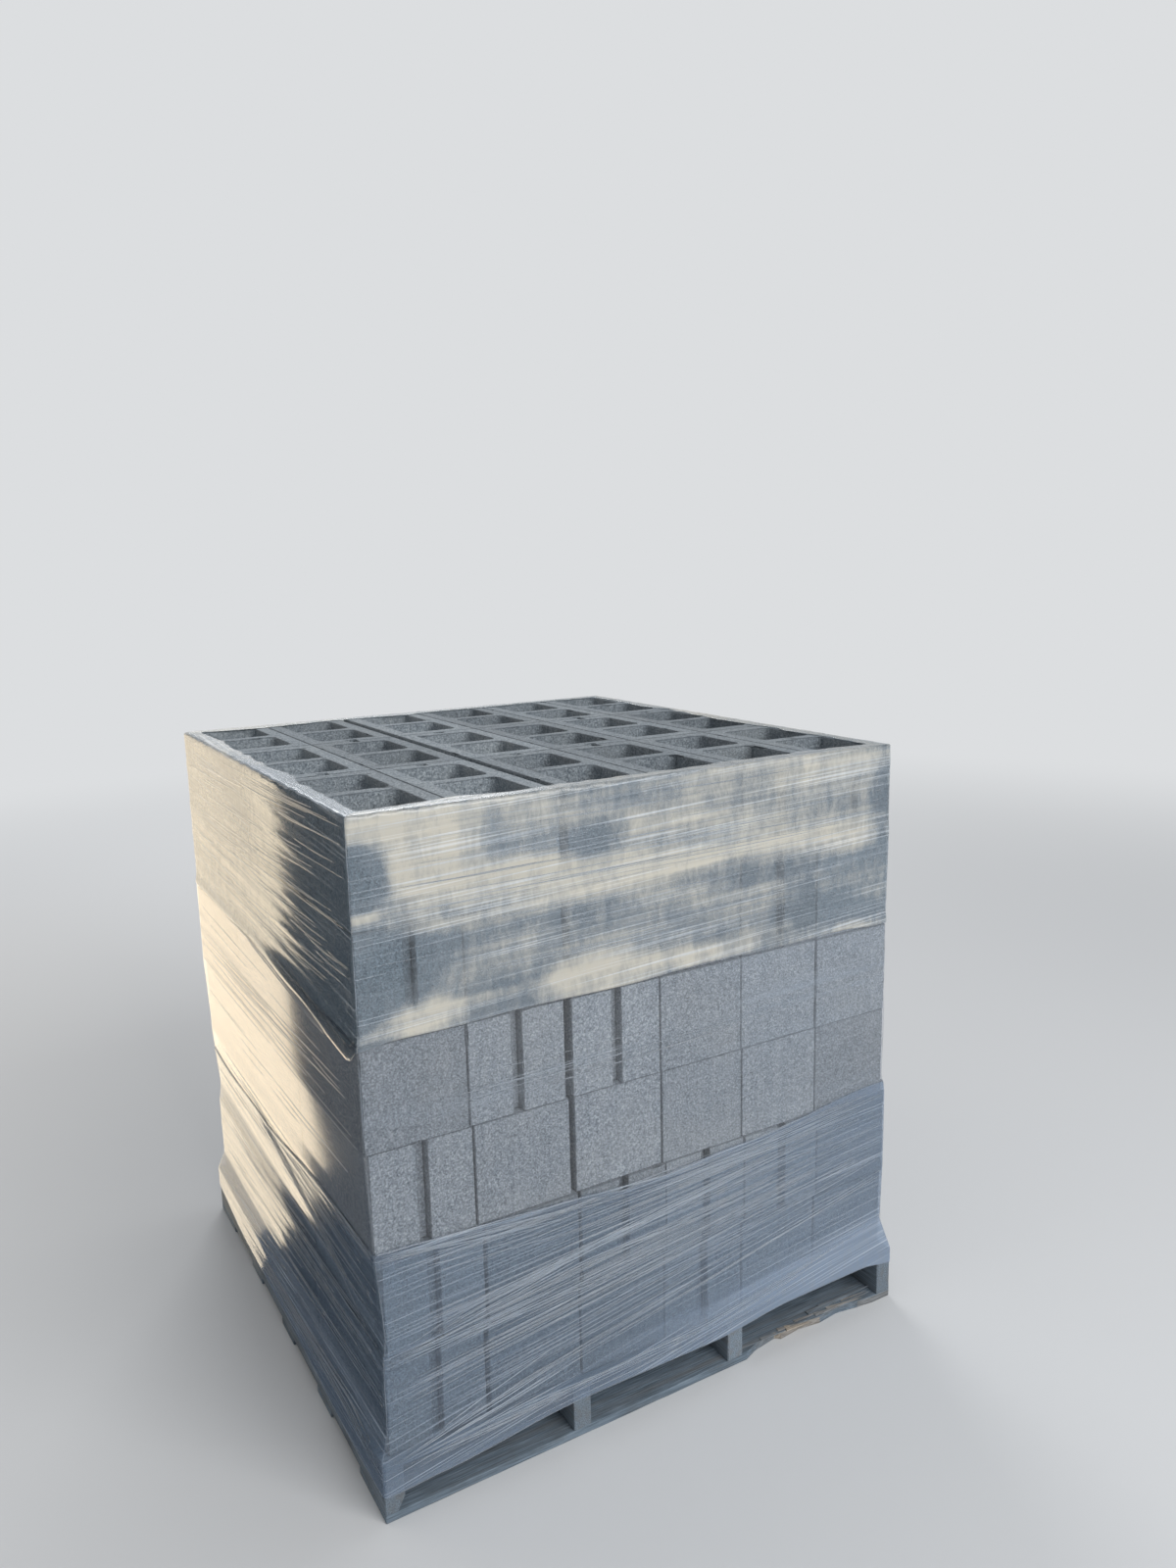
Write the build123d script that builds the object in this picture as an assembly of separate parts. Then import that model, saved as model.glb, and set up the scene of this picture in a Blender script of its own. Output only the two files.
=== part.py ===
"""A pallet load of hollow concrete blocks under stretch wrap, in millimetres.

X runs along the front, Y into the depth and Z up. The origin is the middle of the pallet's footprint,
on the ground. Six courses of blocks stand on a four-stringer timber pallet, all with their length
front to back, and one stretch wrap holds the load to the pallet.
"""

from build123d import *
from collections import namedtuple
from math import atan, degrees, sin
import os

INCH = 25.4

# Concrete block: the nominal 8 x 8 x 16 in hollow unit, which measures 3/8 in less each way
BLOCK_LENGTH = 15.625 * INCH
BLOCK_WIDTH = 7.625 * INCH
BLOCK_HEIGHT = 7.625 * INCH
FACE_SHELL = 33.0
END_WEB = 36.0
MIDDLE_WEB = 30.0
CORE_DRAFT = 2.5
CORE_CORNER_RADIUS = 16.0
SLOT_WIDTH = 19.0
SLOT_DEPTH = 19.0

# Load: columns across the front, blocks from front to back, and the joints between them
ROWS = 3
ROW_JOINT = 2.0
LOAD_SHIFT_X = -9.0
COLUMN_STAGGER = 1.0

# Pallet timber, nominal 2 x 4 in stringers and 5/8 in boards. The pallet is 48 in square, which leaves
# a narrow ledge round the blocks it is loaded with.
SIDE_LEDGE = 1.125 * INCH
END_LEDGE = 0.5625 * INCH
STRINGER_WIDTH = 1.5 * INCH
STRINGER_HEIGHT = 3.5 * INCH
BOARD_THICKNESS = 0.625 * INCH
LEAD_BOARD_WIDTH = 5.5 * INCH
INNER_BOARD_WIDTH = 3.5 * INCH
INNER_DECK_BOARDS = 5
INNER_BOTTOM_BOARDS = 3
LEFT_BAY = 348.0
RIGHT_BAY = 385.0

# Damage: a chipped stringer foot, and the torn front edge of the first bottom board
CHIP_WIDTH = 15.0
CHIP_HEIGHT = 26.0
CHIP_LENGTH = 34.0
TEAR_ALONG_BAY = (0.03, 0.12, 0.27, 0.30, 0.44, 0.58, 0.72, 0.86, 0.97)
TEAR_DEPTH = (0.0, 13.0, 21.0, 12.0, 17.0, 9.0, 14.0, 5.0, 0.0)

# Stretch wrap, a plain closed skin here: its hem, its wall and its clearance from what it holds
WRAP_HEM_HEIGHT = 90.0
WRAP_WALL = 1.0
WRAP_CLEARANCE = 0.6
WRAP_FOOT_RISE = 95.0
WRAP_BRIDGE = 45.0

# Courses from the ground up. Each says how far it sits off the load's middle, the joints between its
# columns, and which of its front ends show their sash slot (1) or a plain end (0).
Course = namedtuple("Course", "shift_x shift_y joints slots")
COURSES = (
    Course(4.0, 1.0, (8.0, 1.0, 1.0, 2.0, 2.0), (1, 0, 0, 1, 0, 0)),
    Course(10.0, -1.0, (4.0, 5.0, 1.0, 1.0, 2.0), (1, 0, 1, 1, 1, 0)),
    Course(1.0, 1.0, (2.0, 11.0, 1.0, 2.0, 1.0), (1, 0, 0, 0, 0, 0)),
    Course(-4.0, -2.0, (2.0, 14.0, 1.0, 1.0, 2.0), (0, 1, 1, 0, 0, 0)),
    Course(-2.0, 0.0, (1.0, 12.0, 1.0, 2.0, 1.0), (1, 0, 0, 0, 1, 0)),
    Course(0.0, 2.0, (1.0, 16.0, 1.0, 1.0, 1.0), (1, 0, 0, 0, 1, 1)),
)

PALLET_WIDTH = len(COURSES[0].slots) * BLOCK_WIDTH + 2 * SIDE_LEDGE
PALLET_DEPTH = ROWS * BLOCK_LENGTH + 2 * END_LEDGE
DECK_TOP = 2 * BOARD_THICKNESS + STRINGER_HEIGHT
LOAD_TOP = DECK_TOP + len(COURSES) * BLOCK_HEIGHT
LOAD_DEPTH = ROWS * BLOCK_LENGTH + (ROWS - 1) * ROW_JOINT

os.makedirs("parts", exist_ok=True)


def write(node, solids):
    """Write one node's solids to its STEP file."""
    shape = solids[0] if len(solids) == 1 else Compound(solids)
    export_step(shape, f"parts/{node}.step")
    print(node, len(solids), "solids")


def core(width, length, rounded):
    """The solid of one core, its top on Z = 0. It narrows downwards, as the mould leaves it."""
    form = Pos(0, 0, -BLOCK_HEIGHT / 2) * Box(width, length, BLOCK_HEIGHT)
    walls = form.faces().filter_by(Axis.Z, reverse=True)
    form = draft(walls, Plane.XY, -degrees(atan(CORE_DRAFT / BLOCK_HEIGHT)))
    if rounded:
        corners = [edge for edge in form.edges() if edge.bounding_box().size.Z > BLOCK_HEIGHT / 2]
        form = fillet(corners, CORE_CORNER_RADIUS)
    return form


def block(rounded_cores):
    """A hollow block lying along Y on Z = 0, centred in X and Y, with its slot in the -Y end.

    Only blocks whose cores can be seen have the rounded core corners.
    """
    body = Pos(0, 0, BLOCK_HEIGHT / 2) * Box(BLOCK_WIDTH, BLOCK_LENGTH, BLOCK_HEIGHT)
    core_width = BLOCK_WIDTH - 2 * FACE_SHELL
    core_length = (BLOCK_LENGTH - 2 * END_WEB - MIDDLE_WEB) / 2
    hollow = core(core_width, core_length, rounded_cores)
    for side in (-1, 1):
        core_y = side * (core_length + MIDDLE_WEB) / 2
        body -= Pos(0, core_y, BLOCK_HEIGHT) * hollow
    slot = Box(SLOT_WIDTH, 2 * SLOT_DEPTH, 2 * BLOCK_HEIGHT)
    body -= Pos(0, -BLOCK_LENGTH / 2, BLOCK_HEIGHT / 2) * slot
    return body.solid()


def column_centres(course):
    """X of each column's middle in a course, from left to right."""
    width = len(course.slots) * BLOCK_WIDTH + sum(course.joints)
    left = LOAD_SHIFT_X + course.shift_x - width / 2
    centres = []
    for joint in (*course.joints, 0.0):
        centres.append(left + BLOCK_WIDTH / 2)
        left += BLOCK_WIDTH + joint
    return centres


def slot_faces_front(course, level, row, column):
    """The front row is as listed. Behind it the blocks lie either way round."""
    return bool(course.slots[column]) if row == 0 else (level + 2 * column + row) % 3 == 0


def course_blocks(level, course):
    """Every block of one course, as solids that don't touch."""
    unit = block(rounded_cores=level == len(COURSES) - 1)
    z = DECK_TOP + level * BLOCK_HEIGHT
    placed = []
    for column, x in enumerate(column_centres(course)):
        stagger = COLUMN_STAGGER * sin(2.3 * column + 1.7 * level)
        for row in range(ROWS):
            y = (row - (ROWS - 1) / 2) * (BLOCK_LENGTH + ROW_JOINT) + course.shift_y + stagger
            turn = 0 if slot_faces_front(course, level, row, column) else 180
            placed.append(Pos(x, y, z) * Rot(0, 0, turn) * unit)
    return placed


def stringer_centres():
    """X of the four stringers: the outer two are flush with the boards' ends."""
    outer = (PALLET_WIDTH - STRINGER_WIDTH) / 2
    return (-outer, -outer + STRINGER_WIDTH + LEFT_BAY, outer - STRINGER_WIDTH - RIGHT_BAY, outer)


def board_rows(inner_count):
    """Y and width of each board of a deck: a lead board at each edge, the rest evenly between them."""
    lead_y = (PALLET_DEPTH - LEAD_BOARD_WIDTH) / 2
    free = PALLET_DEPTH - 2 * LEAD_BOARD_WIDTH - inner_count * INNER_BOARD_WIDTH
    pitch = free / (inner_count + 1) + INNER_BOARD_WIDTH
    first = -(inner_count - 1) / 2 * pitch
    inner = [(first + i * pitch, INNER_BOARD_WIDTH) for i in range(inner_count)]
    return [(-lead_y, LEAD_BOARD_WIDTH), *inner, (lead_y, LEAD_BOARD_WIDTH)]


def board(y, width, bottom):
    """One plain board across the pallet."""
    return Pos(0, y, bottom + BOARD_THICKNESS / 2) * Box(PALLET_WIDTH, width, BOARD_THICKNESS)


def stringer(x):
    """One stringer, standing on the bottom boards."""
    z = BOARD_THICKNESS + STRINGER_HEIGHT / 2
    return Pos(x, 0, z) * Box(STRINGER_WIDTH, PALLET_DEPTH, STRINGER_HEIGHT)


def stringer_chip(x):
    """What is broken off the inner lower corner of a stringer's front end."""
    inner_face = x + STRINGER_WIDTH / 2
    front = -PALLET_DEPTH / 2
    foot = BOARD_THICKNESS
    side = Plane(origin=(0, front, 0), x_dir=(1, 0, 0), z_dir=(0, 1, 0))
    wedge = side * Polygon(
        (inner_face, -foot), (inner_face - CHIP_WIDTH, -foot), (inner_face, -foot - CHIP_HEIGHT), align=None
    )
    return extrude(wedge, CHIP_LENGTH)


def front_tear(bay_start):
    """What is torn out of the first bottom board's front edge, along the right bay."""
    front = -PALLET_DEPTH / 2
    torn = [(bay_start + share * RIGHT_BAY, front + depth) for share, depth in zip(TEAR_ALONG_BAY, TEAR_DEPTH)]
    return extrude(Polygon(*torn, align=None), BOARD_THICKNESS, both=True)


def pallet_extent():
    """The pallet's outline as low X, high X, low Y, high Y."""
    return (-PALLET_WIDTH / 2, PALLET_WIDTH / 2, -PALLET_DEPTH / 2, PALLET_DEPTH / 2)


def course_extent(course):
    """A course's outline as low X, high X, low Y, high Y, with room for its staggered columns."""
    centres = column_centres(course)
    half_depth = LOAD_DEPTH / 2 + COLUMN_STAGGER
    low_x = centres[0] - BLOCK_WIDTH / 2
    high_x = centres[-1] + BLOCK_WIDTH / 2
    return (low_x, high_x, course.shift_y - half_depth, course.shift_y + half_depth)


def joined(a, b):
    """The outline that takes in two outlines."""
    return (min(a[0], b[0]), max(a[1], b[1]), min(a[2], b[2]), max(a[3], b[3]))


def wrap_levels():
    """Heights and outlines that the wrap is stretched over, from its hem to the load's top."""
    extents = [course_extent(course) for course in COURSES]
    pallet = pallet_extent()
    levels = [(WRAP_HEM_HEIGHT, pallet), (DECK_TOP, joined(pallet, extents[0]))]
    levels.append((DECK_TOP + WRAP_FOOT_RISE, extents[0]))
    for level in range(1, len(COURSES)):
        z = DECK_TOP + level * BLOCK_HEIGHT
        below = extents[level - 1]
        above = extents[level]
        levels += [(z - WRAP_BRIDGE, below), (z, joined(below, above)), (z + WRAP_BRIDGE, above)]
    return levels + [(LOAD_TOP, extents[-1])]


def wrap_form(stand_off):
    """The solid that fills the wrap out to a distance from what it holds."""
    sections = []
    for z, (low_x, high_x, low_y, high_y) in wrap_levels():
        outline = Rectangle(high_x - low_x + 2 * stand_off, high_y - low_y + 2 * stand_off)
        sections.append(Pos((low_x + high_x) / 2, (low_y + high_y) / 2, z) * outline)
    return loft(sections, ruled=True)


for level, course in enumerate(COURSES):
    write(f"block_course_{level + 1}", course_blocks(level, course))

centres = stringer_centres()
for number, x in enumerate(centres, start=1):
    beam = stringer(x)
    if number == 1:
        beam -= stringer_chip(x)
    write(f"stringer_{number}", [beam.solid()])

for number, (y, width) in enumerate(board_rows(INNER_DECK_BOARDS), start=1):
    write(f"deck_board_{number}", [board(y, width, DECK_TOP - BOARD_THICKNESS).solid()])

for number, (y, width) in enumerate(board_rows(INNER_BOTTOM_BOARDS), start=1):
    plank = board(y, width, 0)
    if number == 1:
        plank -= front_tear(centres[2] + STRINGER_WIDTH / 2)
    write(f"bottom_board_{number}", [plank.solid()])

wrap = wrap_form(WRAP_CLEARANCE + WRAP_WALL) - wrap_form(WRAP_CLEARANCE)
write("stretch_wrap", [wrap.solid()])
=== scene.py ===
# %% [markdown]
# # A pallet load of hollow concrete blocks under stretch wrap
# Hollow blocks are sold by the cube: courses of blocks on a timber pallet, held together by clear film.
# The load's solids come in as a fixed frame. This file gives them their looks: chipped concrete,
# weathered timber and creased film. All lengths are in metres, so a size in millimetres is times MM.

# %% Load the frame
import math
import random

import bmesh
import bpy
from mathutils import Matrix, Vector, noise


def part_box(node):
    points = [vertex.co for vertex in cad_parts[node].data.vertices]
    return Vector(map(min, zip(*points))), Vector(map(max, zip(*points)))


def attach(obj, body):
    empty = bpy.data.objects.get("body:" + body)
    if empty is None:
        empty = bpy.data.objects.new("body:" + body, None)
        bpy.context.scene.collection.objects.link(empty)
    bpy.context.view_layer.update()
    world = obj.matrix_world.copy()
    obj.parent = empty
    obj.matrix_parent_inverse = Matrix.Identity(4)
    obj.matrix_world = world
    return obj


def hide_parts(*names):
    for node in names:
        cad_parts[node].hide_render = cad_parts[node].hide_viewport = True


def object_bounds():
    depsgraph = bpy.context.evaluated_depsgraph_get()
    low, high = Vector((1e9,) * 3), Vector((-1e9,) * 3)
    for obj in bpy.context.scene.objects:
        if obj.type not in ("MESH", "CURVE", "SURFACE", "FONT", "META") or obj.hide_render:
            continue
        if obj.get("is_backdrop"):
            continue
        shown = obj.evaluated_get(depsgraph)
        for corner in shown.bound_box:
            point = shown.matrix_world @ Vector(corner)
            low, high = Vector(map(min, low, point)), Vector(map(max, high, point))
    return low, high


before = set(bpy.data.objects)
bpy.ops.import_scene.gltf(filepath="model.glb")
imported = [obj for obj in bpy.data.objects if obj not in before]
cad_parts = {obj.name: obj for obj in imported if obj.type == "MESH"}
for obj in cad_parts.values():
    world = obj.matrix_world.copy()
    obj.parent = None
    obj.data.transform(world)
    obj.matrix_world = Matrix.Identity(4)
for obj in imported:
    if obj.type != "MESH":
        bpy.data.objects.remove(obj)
cad_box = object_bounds()
scene = bpy.context.scene
MM = 0.001
COURSE_NODES = sorted(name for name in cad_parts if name.startswith("block_course"))
STRINGER_NODES = sorted(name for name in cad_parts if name.startswith("stringer"))
BOARD_NODES = sorted(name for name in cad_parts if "board" in name)
print(len(COURSE_NODES), "courses,", len(STRINGER_NODES), "stringers,", len(BOARD_NODES), "boards")

# %% [markdown]
# ## Helpers
# Colours are written as the hex values that a colour picker gives, which are sRGB, and a shader works in
# linear light, so one function turns the one into the other. A node tree is easier to read when each node
# is one line, so a second function adds a node with its settings and its inputs. An input that is another
# node, or one of its outputs, is linked, and any other value is set. Two finishes are mostly layers of
# pattern, so one function lays a tint over a colour where a pattern is strong, and one adds patterns up.


# %% Helpers for materials
def linear(hex_colour):
    """The linear RGBA of an sRGB colour such as "8d949a"."""
    shares = [int(hex_colour[i:i + 2], 16) / 255 for i in (0, 2, 4)]
    return (*[c / 12.92 if c <= 0.04045 else ((c + 0.055) / 1.055) ** 2.4 for c in shares], 1.0)


def add(tree, kind, inputs=(), stops=(), **settings):
    """Add one node. inputs maps sockets to values, nodes or outputs, and stops are a ramp's colours."""
    made = tree.nodes.new("ShaderNode" + kind)
    for name, value in settings.items():
        setattr(made, name, value)
    for index, (position, colour) in enumerate(stops):
        elements = made.color_ramp.elements
        element = elements[index] if index < 2 else elements.new(position)
        element.position, element.color = position, linear(colour)
    for socket, value in dict(inputs).items():
        if isinstance(value, bpy.types.Node):
            value = next(output for output in value.outputs if output.enabled)
        if isinstance(value, bpy.types.NodeSocket):
            tree.links.new(value, made.inputs[socket])
        else:
            made.inputs[socket].default_value = value
    return made


def new_material(name):
    """An empty node material, and its tree."""
    material = bpy.data.materials.new(name)
    material.use_nodes = True
    material.node_tree.nodes.clear()
    return material, material.node_tree


def stain(tree, colour, pattern, span, strength, tint):
    """Lay a tint over a colour. Its strength goes from first to last as the pattern crosses the span."""
    share = add(tree, "MapRange", {"Value": pattern, "From Min": span[0], "From Max": span[1],
                                   "To Min": strength[0], "To Max": strength[1]})
    return add(tree, "Mix", {0: share, 6: colour, 7: linear(tint)}, data_type="RGBA")


def shade_by(tree, colour, number, darkest):
    """Darken a colour by a number stored on the faces: at 0 by the darkest shade, at 1 not at all."""
    shade = add(tree, "Mix", {0: number, 6: linear(darkest), 7: linear("ffffff")}, data_type="RGBA")
    return add(tree, "Mix", {0: 1.0, 6: colour, 7: shade}, data_type="RGBA", blend_type="MULTIPLY")


def weighed(tree, terms, start=0.0):
    """A start value plus each pattern times its weight."""
    for pattern, weight in terms:
        start = add(tree, "Math", {0: pattern, 1: weight, 2: start}, operation="MULTIPLY_ADD")
    return start


print("the lightest grey of the floor, in linear light:", round(linear("cfd0d1")[0], 3))


# %% Helpers for meshes
def object_from(name, mesh, material):
    """Turn a bmesh into an object of the scene at the origin, with one material."""
    data = bpy.data.meshes.new(name)
    mesh.to_mesh(data)
    mesh.free()
    data.materials.append(material)
    made = bpy.data.objects.new(name, data)
    scene.collection.objects.link(made)
    return made


def hand_over(made, stands_for=None):
    """Attach a piece to the frame's root body, and hide the frame's solid that it stands for, if one is given."""
    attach(made, "root")
    if stands_for:
        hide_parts(stands_for)
    return made


def part_way(value, low, high):
    """How far a value has come from low to high, from 0 to 1."""
    return min(1.0, max(0.0, (value - low) / (high - low)))


def smooth_way(value, low, high):
    """The same with a soft start and end."""
    t = part_way(value, low, high)
    return t * t * (3 - 2 * t)


print("a quarter of the way, softened:", smooth_way(0.25, 0.0, 1.0))

# %% [markdown]
# ## Floor, light and camera
# The load stands on a plain pale floor under soft studio light: one large lamp in front on the right, a
# weaker one behind, a faint warm one on the left, and a pale world that fills the shadows. The camera is
# set from the photograph's perspective: its place, its turn, and a focal length that was measured in
# pixels of a frame 1200 pixels wide, which a 36 mm wide sensor turns into millimetres.

# %% Floor
FLOOR_RADIUS = 40.0
FADE_START, FADE_END = 2.6, 8.0
BACKDROP = "dcdee0"
floor_paint, tree = new_material("matt_pale_floor")
place = add(tree, "TexCoord").outputs["Object"]
distance = add(tree, "VectorMath", {0: place}, operation="LENGTH")
far = add(tree, "MapRange", {"Value": distance, "From Min": FADE_START, "From Max": FADE_END},
          interpolation_type="SMOOTHSTEP")
matt = add(tree, "BsdfDiffuse", {"Color": linear("cfd0d1")})
haze = add(tree, "Emission", {"Color": linear(BACKDROP)})
fade = add(tree, "MixShader", {0: far, 1: matt, 2: haze})
add(tree, "OutputMaterial", {"Surface": fade})
floor_mesh = bmesh.new()
bmesh.ops.create_circle(floor_mesh, cap_ends=True, segments=96, radius=FLOOR_RADIUS)
floor = object_from("studio_floor", floor_mesh, floor_paint)
floor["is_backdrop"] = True
print("floor:", 2 * FLOOR_RADIUS, "m across")

# %% World
WORLD_LIGHT = 0.5
world = bpy.data.worlds.new("studio")
world.use_nodes = True
scene.world = world
tree = world.node_tree
tree.nodes.clear()
lighting = add(tree, "Background", {"Color": linear("eef2f7"), "Strength": WORLD_LIGHT})
backdrop = add(tree, "Background", {"Color": linear(BACKDROP), "Strength": 1.0})
ray = add(tree, "LightPath").outputs
seen = add(tree, "Math", {0: ray["Is Camera Ray"], 1: ray["Is Transmission Ray"]}, operation="MAXIMUM")
seen = add(tree, "Math", {0: seen, 1: ray["Is Glossy Ray"]}, operation="MAXIMUM")
either = add(tree, "MixShader", {0: seen, 1: lighting, 2: backdrop})
add(tree, "OutputWorld", {"Surface": either})
print("world light:", WORLD_LIGHT)


# %% Lamps
def lamp(name, place, aim, size, watts, colour):
    """A square area lamp that looks at a point."""
    data = bpy.data.lights.new(name, "AREA")
    data.size = size
    data.energy = watts
    data.color = linear(colour)[:3]
    made = bpy.data.objects.new(name, data)
    made.location = place
    made.rotation_euler = (Vector(aim) - Vector(place)).to_track_quat("-Z", "Y").to_euler()
    scene.collection.objects.link(made)
    print(name, "lamp:", watts, "W")


middle = (cad_box[0] + cad_box[1]) / 2
lamp("key", (1.2, -5.6, 4.4), middle, 4.4, 330.0, "ffffff")
lamp("back", (1.5, 5.5, 4.5), middle, 3.0, 150.0, "ffffff")
lamp("warm_side", (-3.6, 3.2, 1.6), (-0.6, 0.3, 0.7), 2.2, 20.0, "ffe9c8")

# %% [markdown]
# ## Cards for the left side to mirror
# Seen at a glancing angle, film is a mirror. Beside the left side stand four glowing cards, dark near the
# front corner and cream behind, which only reflections see. Two of them lie on the floor, and the line
# between dark and cream runs across it at a slant.

# %% Reflected cards
CARD_LIFT = 3 * MM
DARK, CREAM, CREAM_GLOW = "222c38", "f7e5c8", 1.9
CARD_X, FOOT_X, FAR_X = -0.81, -0.615, -2.6
NEAR_TURN, FAR_TURN = (FOOT_X, 0.25), (CARD_X, 0.62)
CREAM_START, CREAM_END = 4.0, 12.0


def reflected_card(name, corners, colour, strength=1.0):
    """A glowing flat card through some corners, that only reflections see."""
    paint, tree = new_material(name)
    glow = add(tree, "Emission", {"Color": linear(colour), "Strength": strength})
    add(tree, "OutputMaterial", {"Surface": glow})
    mesh = bmesh.new()
    mesh.faces.new([mesh.verts.new(corner) for corner in corners])
    card = object_from(name, mesh, paint)
    card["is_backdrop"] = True
    card.visible_camera = card.visible_diffuse = card.visible_shadow = card.visible_transmission = False


def upright(x, near_y, far_y, top):
    """Corners of a card that stands along the load."""
    return [(x, near_y, 0.0), (x, far_y, 0.0), (x, far_y, top), (x, near_y, top)]


def lying(*corners):
    """Corners of a card just above the floor."""
    return [(x, y, CARD_LIFT) for x, y in corners]


reflected_card("dark_upright_card", upright(CARD_X, -0.6, 0.56, 1.6), DARK)
reflected_card("dark_floor_card", lying((CARD_X, -1.2), (FOOT_X, -1.2), NEAR_TURN, FAR_TURN), DARK)
reflected_card("cream_floor_card", lying(FAR_TURN, NEAR_TURN, (FOOT_X, CREAM_END), (FAR_X, CREAM_END),
                                         (FAR_X, FAR_TURN[1])), CREAM, CREAM_GLOW)
reflected_card("cream_upright_card", upright(FAR_X, CREAM_START, CREAM_END, 3.0), CREAM, CREAM_GLOW)

# %% Camera
CAMERA_PLACE = (-1.1625, -2.3246, 1.6678)
CAMERA_YAW = math.radians(30.31)
CAMERA_PITCH = math.radians(10.82)
CAMERA_ROLL = math.radians(-1.33)
FRAME_WIDTH_PX = 1200
FOCAL_PX = 1172.5
SENSOR_MM = 36.0
camera_data = bpy.data.cameras.new("camera")
camera_data.sensor_fit = "HORIZONTAL"
camera_data.sensor_width = SENSOR_MM
camera_data.lens = FOCAL_PX / FRAME_WIDTH_PX * SENSOR_MM
camera = bpy.data.objects.new("camera", camera_data)
turn = Matrix.Rotation(-CAMERA_YAW, 4, "Z")
tilt = Matrix.Rotation(math.pi / 2 - CAMERA_PITCH, 4, "X")
camera.matrix_world = Matrix.Translation(CAMERA_PLACE) @ turn @ tilt @ Matrix.Rotation(CAMERA_ROLL, 4, "Z")
scene.collection.objects.link(camera)
scene.camera = camera
scene.view_settings.view_transform = "Standard"
print("lens:", round(camera_data.lens, 1), "mm")

# %% [markdown]
# ## Concrete
# The blocks are dry-cast concrete: sand and fine stone with little cement, pressed in a steel mould and
# pushed out at once. That leaves a grey face that is open and grainy all over, with pinholes between the
# grains and faint upright drag marks from the mould's walls. The greys are drawn bluish, a painted tint of
# shade under an open sky. Grains are 2 to 3 mm across, and are drawn a little coarser, because finer ones
# don't show from here. Each block left the mixer a little lighter or darker, so a number stored on each
# block's faces shifts its colour. A noise texture's scale is one over the size of its grains.

# %% Concrete material
GRAIN = 3.6 * MM
SAND = 1.6 * GRAIN
PINHOLE = 7.0 * MM
DRAG_MARK = 9.0 * MM
DRAG_SQUEEZE = 0.06
CLOUD = 160.0 * MM


def dry_cast_concrete():
    """Grainy grey concrete. The face attribute "batch" is each block's shade, and "edge" marks its bevels,
    darkened as painted shade in the joints.
    """
    material, tree = new_material("dry_cast_concrete")
    place = add(tree, "TexCoord").outputs["Object"]
    grain = add(tree, "TexNoise", {"Vector": place, "Scale": 1 / GRAIN, "Detail": 3.0, "Roughness": 0.7})
    sand = add(tree, "TexVoronoi", {"Vector": place, "Scale": 1 / SAND}).outputs["Color"]
    holes = add(tree, "TexVoronoi", {"Vector": place, "Scale": 1 / PINHOLE})
    holes = add(tree, "MapRange", {"Value": holes, "From Min": 0.05, "From Max": 0.22})
    squeezed = add(tree, "Mapping", {"Vector": place, "Scale": (1.0, 1.0, DRAG_SQUEEZE)})
    drag = add(tree, "TexNoise", {"Vector": squeezed, "Scale": 1 / DRAG_MARK, "Detail": 2.0})
    cloud = add(tree, "TexNoise", {"Vector": place, "Scale": 1 / CLOUD, "Detail": 4.0})

    colour = add(tree, "ValToRGB", {"Fac": grain},
                 stops=[(0.36, "424b53"), (0.465, "727c84"), (0.546, "8d969d"), (0.66, "c4cbcf")])
    grains = add(tree, "Mix", {0: sand, 6: linear("59626a"), 7: linear("a6aeb4")}, data_type="RGBA")
    colour = add(tree, "Mix", {0: 0.35, 6: colour, 7: grains}, data_type="RGBA")
    colour = stain(tree, colour, drag, (0.35, 0.7), (0.0, 0.16), "b4babd")
    colour = stain(tree, colour, cloud, (0.45, 0.75), (0.0, 0.22), "a7a9a6")
    # Pinholes are drawn dark: painted shade in the pits.
    colour = stain(tree, colour, holes, (0.0, 1.0), (0.75, 0.0), "3d4347")
    batch = add(tree, "Attribute", attribute_name="batch").outputs["Fac"]
    colour = shade_by(tree, colour, batch, "d8d9da")
    # The bevelled edges are darkened, as painted shade in the grooves between blocks.
    edge = add(tree, "Attribute", attribute_name="edge").outputs["Fac"]
    colour = stain(tree, colour, edge, (0.0, 1.0), (0.0, 0.55), "40474d")

    height = weighed(tree, ((grain, 0.8), (holes, 0.9), (drag, 0.25)))
    bump = add(tree, "Bump", {"Height": height, "Distance": 1.1 * MM, "Strength": 0.9})
    shader = add(tree, "BsdfPrincipled", {"Base Color": colour, "Roughness": 0.95, "Normal": bump})
    add(tree, "OutputMaterial", {"Surface": shader})
    print(material.name, "has", len(tree.nodes), "nodes")
    return material


concrete = dry_cast_concrete()

# %% [markdown]
# ## One hollow block
# A block is a box with two cores that narrow downwards, so that it leaves the mould, and a slot down the
# middle of one end. It starts as a grid whose lines fall on every wall. Deleting the cells of the cores
# and the slot leaves the plan of the block, and extruding the plan gives its height. The real edges are
# never sharp: sand falls off them and handling chips them. So the edges that show are split every few
# millimetres and bevelled, and noise then moves the bevel inwards, more in some places than in others.

# %% Sizes of a block
FACE_SHELL = 33 * MM
END_WEB = 36 * MM
MIDDLE_WEB = 30 * MM
SLOT_WIDTH = 19 * MM
SLOT_DEPTH = 19 * MM
CORE_DRAFT = 2.5 * MM
CORE_ROUND = 16 * MM
RIM_BEVEL = 2.2 * MM
RIM_STEP = 7 * MM
CRUMBLE, CRUMB_SIZE = 2.2 * MM, 9 * MM
CHIP, CHIP_SIZE = 6.0 * MM, 34 * MM
FLAT_FACE_AREA = 1.2e-3
EDGE_FACE_AREA = 0.6e-3
print("webs:", END_WEB / MM, "mm at the ends and", MIDDLE_WEB / MM, "mm in the middle")


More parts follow.
